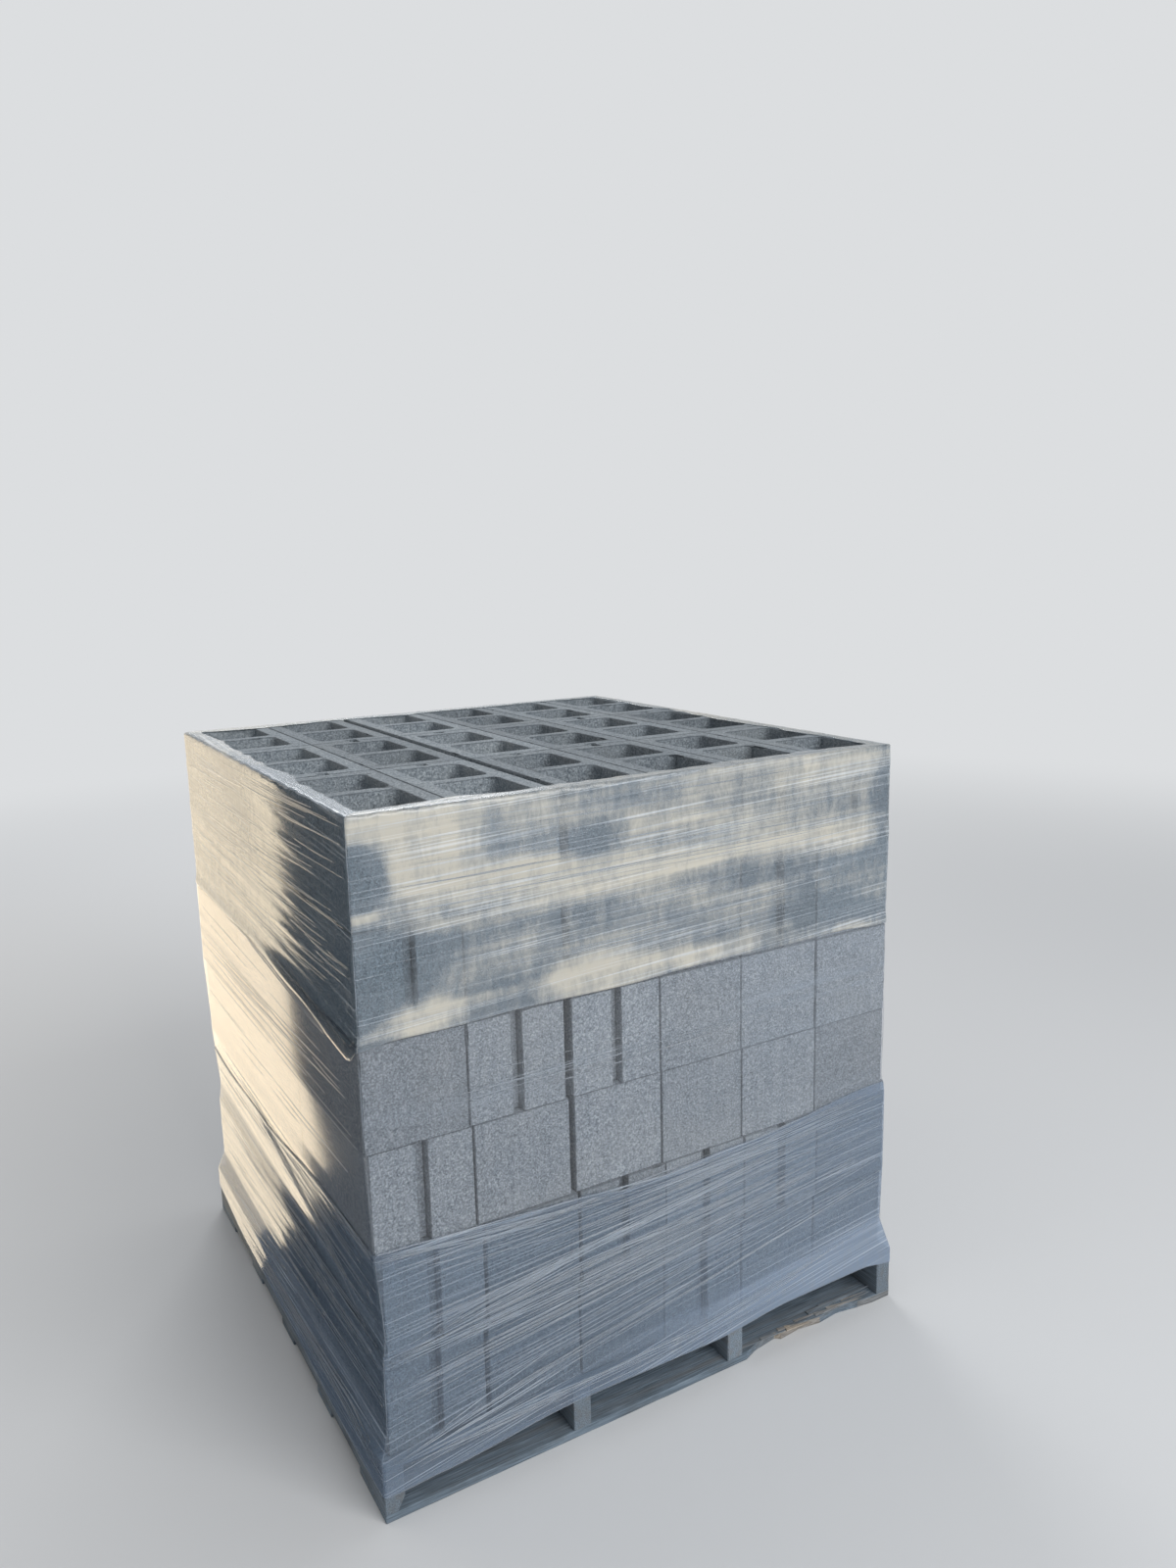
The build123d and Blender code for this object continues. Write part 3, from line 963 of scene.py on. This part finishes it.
# %% Winding, waves and swells
# How much the winding climbs along each side, at CLIMB_LOW and at CLIMB_HIGH
CLIMB = ((0.165, 0.045), (0.03, 0.02), (0.09, 0.03), (0.08, -0.05))
CLIMB_LOW, CLIMB_HIGH = 0.1, 0.5
PAINTED_SHADE_FROM, PAINTED_SHADE_FADE = 3.40, 0.25


def winding(s, z):
    """Metres along the winding and across it, for a place on the film."""
    low, high = CLIMB[int(s % 4.0)]
    slope = low + (high - low) * part_way(z, CLIMB_LOW, CLIMB_HIGH)
    return s * SIDE_LENGTH, z - slope * (s % 1.0) * SIDE_LENGTH


def wave(s, z, along, across, seed):
    """Noise with waves this long round the load and this high up it."""
    turn = s * math.pi / 2
    reach = SIDE_LENGTH / (math.pi / 2) / along
    return noise.noise(Vector((math.cos(turn) * reach, math.sin(turn) * reach, z / across + seed)))


def swell(height, s, z, along, across, seed):
    """The upper halves of such waves, at most this many millimetres high."""
    return height * MM * max(0.0, wave(s, z, along, across, seed))


def left_painted_shade(s):
    """1 on the front half of the left side, where milk and cream are taken away as painted shade, so that the film
    lies clear and mirrors the dark, else 0.
    """
    return smooth_way(s % 4.0, PAINTED_SHADE_FROM, PAINTED_SHADE_FROM + PAINTED_SHADE_FADE)


def bell(value, centre, width):
    """1 at the centre, falling to nothing some widths away."""
    return math.exp(-((value - centre) / width) ** 2)


print("the winding climbs", round(CLIMB[0][0] * SIDE_LENGTH / MM), "mm along the front's foot")

# %% Build a band of turns
FILM_THICKNESS = 0.25 * MM
CORNER_STATIONS = (0.0, 1.5 * MM, 3.2 * MM, 5.0 * MM, 9.0 * MM)
NO_PAINTED_REFLECTION = -1.0


def stations(columns):
    """Places round the load for a grid with this many plain columns to each side."""
    found = []
    for side in range(4):
        near = [d / SIDE_LENGTH for d in CORNER_STATIONS]
        plain = [near[-1] + (1 - 2 * near[-1]) * i / columns for i in range(1, columns)]
        found += [side + t for t in near + plain + [1 - t for t in reversed(near[1:])]]
    return found + [4.0]


def film_piece(name, sheet, material):
    """Turn a sheet into a closed piece of film that stands for the frame's plain wrap."""
    bmesh.ops.recalc_face_normals(sheet, faces=sheet.faces[:])
    for face in sheet.faces:
        face.smooth = True
    made = object_from(name, sheet, material)
    wall = made.modifiers.new("film", "SOLIDIFY")
    wall.thickness = FILM_THICKNESS
    wall.offset = 1.0
    print(name + ":", len(made.data.polygons), "faces")
    return hand_over(made, "stretch_wrap")


def film_band(name, columns, rows, height_at, lift_at, milk_at, material, painted_reflection_at=None):
    """A closed band. height_at(s, v) is the height of row share v; lift_at and milk_at are its relief."""
    places = stations(columns)
    across = len(places) - 1
    sheet = bmesh.new()
    bmesh.ops.create_grid(sheet, x_segments=across, y_segments=rows, size=0.5)
    chart = sheet.loops.layers.uv.new("film")
    milk, cream, pressed, taut = [sheet.verts.layers.float.new(of) for of in ("milk", "cream", "pressed", "taut")]
    charted = {}
    for vert in sheet.verts:
        s = places[round((vert.co.x + 0.5) * across)]
        v = vert.co.y + 0.5
        z = height_at(s, v)
        vert.co = wrapped(s, z, lift_at(s, z, v))
        vert[milk] = milk_at(s, z, v)
        vert[cream] = painted_reflection_at(s, z, v) if painted_reflection_at else NO_PAINTED_REFLECTION
        vert[pressed] = 1.0 if z > rim_z else 0.0
        vert[taut] = 1.0 if s >= 3.0 and z < rim_z else 0.0
        charted[vert] = winding(s, z)
    for face in sheet.faces:
        for loop in face.loops:
            loop[chart].uv = charted[loop.vert]
    bmesh.ops.remove_doubles(sheet, verts=sheet.verts[:], dist=0.01 * MM)
    return film_piece(name, sheet, material)


print("a grid with 44 columns a side has", len(stations(44)) - 1, "columns")

# %% [markdown]
# ## Film: edges and bands
# The edges of the bands are drawn as heights at a few places round the load. The front and the left side
# follow the photograph, and the other two are carried on in the same manner.

# %% Edges of the bands, as (mm along the side, mm up)
HEM = route(front=[(-570, 54), (-502, 58), (-204, 82), (97, 80), (307, 98), (506, 100), (585, 87)],
            right=[(-300, 88), (300, 100)], rear=[(450, 86), (0, 96), (-450, 82)],
            left=[(350, 46), (-44, 50), (-450, 44)])
LOWER_TURNS_TOP = route(front=[(-597, 520), (-399, 510), (-196, 501), (-88, 484), (199, 498), (566, 531)],
                        right=[(-200, 505), (400, 520)], rear=[(400, 512), (-300, 490)],
                        left=[(450, 450), (134, 461), (-366, 512)])
UPPER_TURNS_FOOT = route(front=[(-597, 890), (-540, 897), (-436, 896), (-300, 900), (-79, 897), (101, 903),
                                (297, 901), (460, 904), (554, 898)],
                         right=[(-300, 915), (400, 900)], rear=[(300, 918), (-400, 905)],
                         left=[(300, 900), (86, 901), (-245, 880), (-555, 858)])
print("the edges have", len(HEM), len(LOWER_TURNS_TOP), "and", len(UPPER_TURNS_FOOT), "points")

# %% The middle band: one turn, almost clear
OVERLAP = 28 * MM
STREAK_HEIGHT, STREAK_SLANT = 0.80, 0.04


def middle_height(s, v):
    low = curve_value(LOWER_TURNS_TOP, s) - OVERLAP
    high = curve_value(UPPER_TURNS_FOOT, s) + OVERLAP
    return low + (high - low) * v


def middle_lift(s, z, v):
    return 0.2 * MM + swell(0.4, s, z, 0.60, 0.09, 0.0)


def middle_milk(s, z, v):
    line = STREAK_HEIGHT - STREAK_SLANT * math.cos(s * math.pi / 2)
    streaked = bell(z, line, 0.05) * max(0.0, wave(s, z, 0.6, 0.02, 5.0))
    stands_off = part_way(s, 0.56, 0.76) if s < 1.0 else 0.5
    hazy = 0.04 * max(0.0, wave(s, z, 0.5, 0.04, 5.0)) + (0.12 + 0.28 * stands_off) * streaked + 0.045 * stands_off
    # Less milk on the front half of the left side: a painted shade.
    return hazy * (1 - left_painted_shade(s))


middle_band = film_band("stretch_wrap_middle_turn", 44, 80, middle_height, middle_lift, middle_milk, film_middle)

# %% [markdown]
# ## Film: the upper turns
# Several turns hold the top two courses together and fold over the rim. Their foot has rolled up a little
# and shows as a pale rim, with a painted reflection of warm light along it. A patch is a soft ellipse of
# cream, a painted reflection, or where its strength is negative of clearer film with less milk, a painted
# shade, and the material breaks its edge up.

# %% Patches on the front
# Middle X, middle Z, half width and half height in millimetres, and strength of the painted reflection,
# negative for painted shade
REFLECTION_PATCHES = [(-560, 1262, 60, 22, 0.60), (-480, 1225, 80, 60, 0.50), (-450, 1180, 70, 50, 0.45),
           (-390, 1150, 130, 34, 0.35), (-300, 1130, 110, 36, 0.40), (-592, 1175, 44, 46, -1.30),
           (-585, 1114, 26, 10, 0.70), (-130, 1185, 60, 34, -0.50), (-110, 1125, 130, 30, 0.32),
           (60, 1118, 120, 18, 0.40), (300, 1116, 160, 14, 0.40), (470, 1118, 70, 12, 0.30),
           (400, 1252, 90, 22, 0.14), (490, 1252, 90, 20, 0.16), (80, 1205, 60, 14, 0.25),
           (578, 1150, 40, 80, -0.45), (430, 1175, 60, 30, -0.20), (-570, 1010, 90, 84, -0.75),
           (-490, 1040, 50, 40, -0.20), (-80, 1025, 330, 84, 0.28), (170, 990, 120, 70, 0.14),
           (-370, 1074, 120, 16, 0.25), (-480, 1080, 60, 14, 0.25), (480, 1082, 60, 14, 0.30),
           (50, 1080, 70, 16, -0.30), (-490, 922, 64, 36, 0.95), (-548, 934, 44, 20, 0.28),
           (-580, 912, 26, 12, 0.60), (-420, 934, 90, 16, 0.50), (-130, 928, 110, 40, 0.85),
           (-235, 930, 70, 20, 0.22), (30, 926, 80, 22, 0.45), (120, 918, 90, 16, 0.40),
           (240, 946, 90, 18, 0.30), (490, 908, 50, 14, 0.40)]
VEIL_START, VEIL_END = 1.055, 1.095
CLEAR_CREAM, VEILED_CREAM = 0.16, 0.52


def upper_painted_reflection(s, z, v):
    """Painted reflection: cream along the foot, a veil above the joint of the two courses, and the patches."""
    foot = 0.60 * bell(v, 0.03, 0.05) * (0.6 + 0.8 * wave(s, 0.0, 0.3, 1.0, 2.0))
    veil = CLEAR_CREAM + (VEILED_CREAM - CLEAR_CREAM) * smooth_way(z, VEIL_START, VEIL_END)
    if s >= 1.0:
        # Less painted reflection on the front half of the left side, as painted shade.
        return (foot + veil + 0.75 * max(0.0, wave(s, z, 0.32, 0.12, 41.0))) * (1 - left_painted_shade(s))
    x, height = (load_low.x + s * SIDE_LENGTH) / MM, z / MM
    total = 0.3 * foot + veil + 0.4 * wave(s, z, 0.2, 0.05, 41.0)
    for at_x, at_z, half_x, half_z, strength in REFLECTION_PATCHES:
        far = math.hypot((x - at_x) / half_x, (height - at_z) / half_z)
        total += strength * max(0.0, 1.0 - 0.5 * far * far)
    return min(1.0, max(-0.9, total))


print("patches:", len(REFLECTION_PATCHES))

# %% The upper band
RIM_FOLD = 36 * MM


def upper_height(s, v):
    low = curve_value(UPPER_TURNS_FOOT, s)
    fold = RIM_FOLD * (1 + 0.55 * wave(s, 0.0, 0.16, 1.0, 3.0) + 0.25 * wave(s, 0.0, 0.04, 1.0, 9.0))
    return low + (rim_z + fold - low) * v


def upper_lift(s, z, v):
    if z > rim_z:
        return 0.6 * MM + abs(wave(s, z, 0.08, 0.03, 23.0)) * 0.8 * MM
    soft = swell(1.6, s, z, 0.35, 0.035, 11.0)
    fine = swell(0.7, s, z, 0.22, 0.011, 17.0)
    return 1.2 * MM + soft + fine + bell(v, 0.02, 0.02) * 1.2 * MM


def upper_milk(s, z, v):
    if z > rim_z:
        return 0.0
    # Milk of the rolled foot, plus a share of the painted reflection, or less milk where that is negative.
    milk = bell(v, 0.0, 0.014) * 0.16 + 0.14 * min(0.75, max(-0.75, upper_painted_reflection(s, z, v) + 0.05))
    # Less milk on the front half of the left side: a painted shade.
    return milk - 0.12 * left_painted_shade(s)


upper_band = film_band("stretch_wrap_upper_turns", 54, 96, upper_height, upper_lift, upper_milk, film_upper,
                       upper_painted_reflection)

# %% [markdown]
# ## Film: the lower turns
# These tie the load to its pallet. Their winding climbs to the right along the front, and below the blocks
# the film slopes out to the pallet's wider deck, where it is bunched and milkier.


# %% The lower band
def lower_height(s, v):
    low, high = curve_value(HEM, s), curve_value(LOWER_TURNS_TOP, s)
    return low + (high - low) * v


def lower_lift(s, z, v):
    across = winding(s, z)[1]
    soft = swell(1.3, s, across, 0.55, 0.035, 51.0)
    fine = swell(0.5, s, across, 0.40, 0.012, 57.0)
    return 1.2 * MM + soft + fine + bell(v, 0.985, 0.012) * 1.0 * MM


def under(z, level, blur):
    """1 below a level and 0 above it, with a blurred border."""
    return 1 / (1 + math.exp((z - level) / blur))


def lower_milk(s, z, v):
    slope_top = curve_value(SLOPE_TOP, s)
    rightward = part_way(s, 0.35, 0.80) if s < 1.0 else 0.5
    sloping = (0.27 * rightward - 0.02) * under(z, slope_top, 4 * MM)
    below_deck = 0.09 * (1 - rightward) * under(z, deck_top, 3 * MM)
    above_slope = 0.07 * rightward * bell(z, slope_top + 0.012, 0.022)
    hem = 0.08 * bell(v, 0.0, 0.05)
    gathered = (0.05 + 0.05 * rightward) * bell(v, 0.97, 0.03)
    spread = sloping + below_deck + above_slope + hem + gathered + 0.075 * rightward - 0.015
    # Less milk on the front half of the left side: a painted shade.
    return spread - 0.07 * left_painted_shade(s)


lower_band = film_band("stretch_wrap_lower_turns", 54, 110, lower_height, lower_lift, lower_milk, film_lower)

# %% [markdown]
# ## Film: creases
# Pulled film gathers into fine ridges that run straight from where it is caught to where it is let go, and
# some bunch into cords. Each ridge is a narrow strip, 1 to 4 mm wide, that follows a line on the load, is
# highest and milkiest along its middle, and thins out at its ends. A few are listed one by one, and the rest
# are drawn in families with a fixed seed.

# %% Lines that creases follow
CREASE_STEP = 26 * MM
CREASE_GAP = 0.4 * MM
CREASE_RELIEF = 0.7
EDGE_MILK = -0.08
WOBBLE_LENGTH = 0.22


def run_length(line):
    """Length in metres of a line of (place, height) points."""
    return sum(math.hypot((b[0] - a[0]) * SIDE_LENGTH, b[1] - a[1]) for a, b in zip(line, line[1:]))


def on_line(line, share):
    """The place and height at a share of the way along a line."""
    left = share * run_length(line)
    for a, b in zip(line, line[1:]):
        span = run_length([a, b])
        if left <= span:
            t = left / span
            return a[0] + (b[0] - a[0]) * t, a[1] + (b[1] - a[1]) * t
        left -= span
    return line[-1]


def band_lift(s, z):
    """How far out the outermost band lies at a place."""
    if z > curve_value(UPPER_TURNS_FOOT, s):
        return upper_lift(s, z, 0.5)
    if z < curve_value(LOWER_TURNS_TOP, s):
        return lower_lift(s, z, 0.5)
    return middle_lift(s, z, 0.5)


print("the hem is", round(run_length(HEM), 2), "m long")

# %% One crease
creases = bmesh.new()
crease_chart = creases.loops.layers.uv.new("film")
crease_milk = creases.verts.layers.float.new("milk")


def crease(line, width, height, milk, taper=0.25):
    """One crease, its width and height in millimetres, thinning out over a share of each end."""
    length = run_length(line)
    steps = max(4, int(length / CREASE_STEP))
    known = set(creases.verts)
    bmesh.ops.create_grid(creases, x_segments=steps, y_segments=2, size=0.5)
    seed = line[0][1] * 90 + line[0][0] * 7
    for vert in [vert for vert in creases.verts if vert not in known]:
        share, across = vert.co.x + 0.5, 2 * vert.co.y
        s, z = on_line(line, share)
        ahead, behind = on_line(line, min(1.0, share + 0.01)), on_line(line, max(0.0, share - 0.01))
        slope = Vector(((ahead[0] - behind[0]) * SIDE_LENGTH, ahead[1] - behind[1])).normalized()
        thin = min(1.0, min(share, 1 - share) / taper) ** 0.7
        wobble = noise.noise(Vector((share * length / WOBBLE_LENGTH, seed, 0)))
        side = (across / 2 * (0.3 + 0.7 * thin) + wobble * 0.2) * width * MM
        s -= slope.y * side / SIDE_LENGTH
        z += slope.x * side
        ridge = (1 - abs(across)) * thin
        vert[crease_milk] = EDGE_MILK + (milk * (1 + 0.6 * wobble) - EDGE_MILK) * ridge
        relief = CREASE_RELIEF * height * MM * ridge * (1 + 0.4 * wobble)
        vert.co = wrapped(s, z, band_lift(s, z) + CREASE_GAP + relief)


print("a crease has a row of points every", round(CREASE_STEP / MM), "mm")

# %% Families and bunches of creases
SAG = 2.0 * MM
STRAY = 1.5
draw = random.Random(23)


def family(count, first, last, lengths, widths, heights, milks):
    """Creases between two lines, each given by its two ends as (place, height)."""
    for _ in range(count):
        share = draw.random()
        start = [a + (b - a) * share for a, b in zip(first[0], last[0])]
        end = [a + (b - a) * share for a, b in zip(first[1], last[1])]
        reach = draw.uniform(*lengths)
        begin = draw.uniform(0, 1 - reach)
        line = []
        for t in (begin, begin + reach / 2, begin + reach):
            sag = SAG * math.sin(math.pi * (t - begin) / reach)
            line.append((start[0] + (end[0] - start[0]) * t, start[1] + (end[1] - start[1]) * t - sag))
        crease(line, draw.uniform(*widths), draw.uniform(*heights), draw.uniform(*milks))


def gather(line, offsets, width, height, milk):
    """A bunch of thin creases, so many millimetres above a line, each over its own stretch of it."""
    for offset in offsets:
        first, last = draw.uniform(0.0, 0.25), draw.uniform(0.75, 1.0)
        beside = []
        for i in range(9):
            s, z = on_line(line, first + (last - first) * i / 8)
            beside.append((s, z + (offset + draw.uniform(-STRAY, STRAY)) * MM))
        crease(beside, width * draw.uniform(0.7, 1.3), height, milk * draw.uniform(0.6, 1.1), taper=0.12)


print("creases of a family sag by", round(SAG / MM), "mm")

# %% [markdown]
# ## Film: creases that show from the front and the left
# The lower turns' top edge is a gathered bunch that runs round the front left corner. A cord starts at the
# same corner lower down and fans out to the right, and more of them run along the hem.

# %% Placed creases
# Each bunch's line, its creases' places above it, and their width, height and milk
BUNCHES = [
    (route(left=[(134, 461), (-366, 512)],
           front=[(-597, 519), (-399, 509), (-196, 499), (-88, 481), (199, 496), (566, 528)]),
     (0, -3, -7, -11, -16), 2.4, 1.1, 0.45),
    (route(front=[(-88, 468), (199, 478), (566, 512)], right=[(-560, 516)]),
     (8, 4, 0, -5, -9, -14, -19), 2.6, 1.1, 0.48),
    (route(front=[(-590, 500), (-399, 492), (-196, 480)]), (0, -8, -17, -30, -44), 2.4, 0.9, 0.35),
    (route(front=[(-594, 312), (-502, 344), (-396, 363), (-263, 379), (-120, 398), (120, 428), (420, 462)]),
     (7, 4, 2, 0, -2, -5, -8), 2.6, 1.3, 0.5),
    (route(front=[(-594, 306), (-369, 336), (-179, 362), (-9, 368), (230, 372)]), (0, -4, 6), 3.0, 1.4, 0.42),
    (route(front=[(-590, 302), (-369, 304), (-202, 312), (-10, 300)]), (0, 5), 2.8, 1.2, 0.35),
    (route(front=[(-89, 396), (303, 434), (440, 430)]), (0, -5), 3.0, 1.4, 0.42),
    (route(front=[(-88, 452), (303, 472), (582, 494)]), (0, -6), 3.0, 1.4, 0.42),
    (route(front=[(-45, 334), (199, 340), (557, 372)]), (0, -6), 3.0, 1.4, 0.40),
    (route(front=[(-560, 86), (-300, 108), (98, 124), (239, 141), (375, 158), (583, 199)]),
     (0, 3, 8, -7, -20), 1.9, 0.7, 0.42),
    (route(front=[(-595, 120), (-300, 121), (98, 123)]), (0, -4, -9), 1.8, 0.6, 0.45),
    (route(left=[(300, 893), (86, 897), (-245, 874), (-585, 856)]), (0, -6), 4.0, 1.6, 0.35),
    (route(left=[(400, 72), (-44, 102), (-431, 125)], front=[(-598, 112)]), (0, 8, -9, 15, -20), 3.6, 1.6, 0.35),
    (route(left=[(300, 480), (-100, 420), (-590, 320)]), (0, 9, -10), 3.0, 1.4, 0.3)]
for line, offsets, width, height, milk in BUNCHES:
    gather(line, offsets, width, height, milk)
print("placed creases:", sum(len(offsets) for _, offsets, *_ in BUNCHES))

# %% Families on the four sides, and fans from the front left corner
LOWER_COUNTS, MIDDLE_COUNTS = (150, 100, 100, 64), (12, 12, 12, 26)
for side in range(4):
    left, right = side + 0.008, side + 0.992
    low, high = CLIMB[side]
    family(LOWER_COUNTS[side], ((left, 0.095), (right, 0.105 + low * SIDE_LENGTH)),
           ((left, 0.500 - max(0, high) * 0.4), (right, 0.515 + min(0, high) * 0.4)),
           (0.12, 0.70), (1.4, 2.6), (0.2, 0.8), (0.15, 0.55))
    family(70, ((left, 0.930), (right, 0.945)), ((left, 1.256), (right, 1.274)),
           (0.08, 0.45), (1.2, 2.2), (0.2, 0.6), (0.08, 0.34))
    family(MIDDLE_COUNTS[side], ((left, 0.56), (right, 0.60)), ((left, 0.87), (right, 0.84)),
           (0.1, 0.45), (1.0, 2.0), (0.1, 0.4), (0.05, 0.22))
    family(10, ((left, 0.730), (right, 0.770)), ((left, 0.775), (right, 0.800)),
           (0.2, 0.6), (1.2, 2.2), (0.1, 0.4), (0.10, 0.30))
for low, high, at in ((0.330, 0.400, 0.308), (0.455, 0.500, 0.512), (0.110, 0.230, 0.108)):
    family(15, ((0.004, at - 5 * MM), (0.40, low)), ((0.004, at + 6 * MM), (0.34, high)),
           (0.25, 0.75), (1.5, 2.6), (0.5, 1.2), (0.3, 0.7))
print("creases so far:", len(creases.faces), "faces")

# %% White lines where the film turns the corners
CORNER_RUNS = ((0.14, 0.31), (0.32, 0.50), (0.52, 0.70), (0.71, 0.89), (0.92, 1.08), (1.10, 1.27))
# The milk on these thin ridges is a painted highlight along each corner; the ridges themselves are real relief.
for corner in range(4):
    for low, high in CORNER_RUNS:
        crease([(corner - 0.0006, low), (corner + 0.0004, (low + high) / 2), (corner - 0.0003, high)], 2.6, 0.3,
               draw.uniform(0.10, 0.34), taper=0.3)
print("corner lines:", 4 * len(CORNER_RUNS))

# %% Finish the film
for face in creases.faces:
    for loop in face.loops:
        loop[crease_chart].uv = (loop.vert.co.x + loop.vert.co.y, loop.vert.co.z)
gathered = film_piece("stretch_wrap_creases", creases, film_crease)

# %% [markdown]
# ## Sizes, and the end
# The file ends by printing how much the box of the finished load has grown over the box of the frame's
# solids, so that the two can be compared.

# %% Write the sizes and finish
scene.view_layers[0].update()
seen_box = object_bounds()
growth = (seen_box[1] - seen_box[0]) - (cad_box[1] - cad_box[0])
print("box grew by", [round(side / MM, 1) for side in growth], "mm")
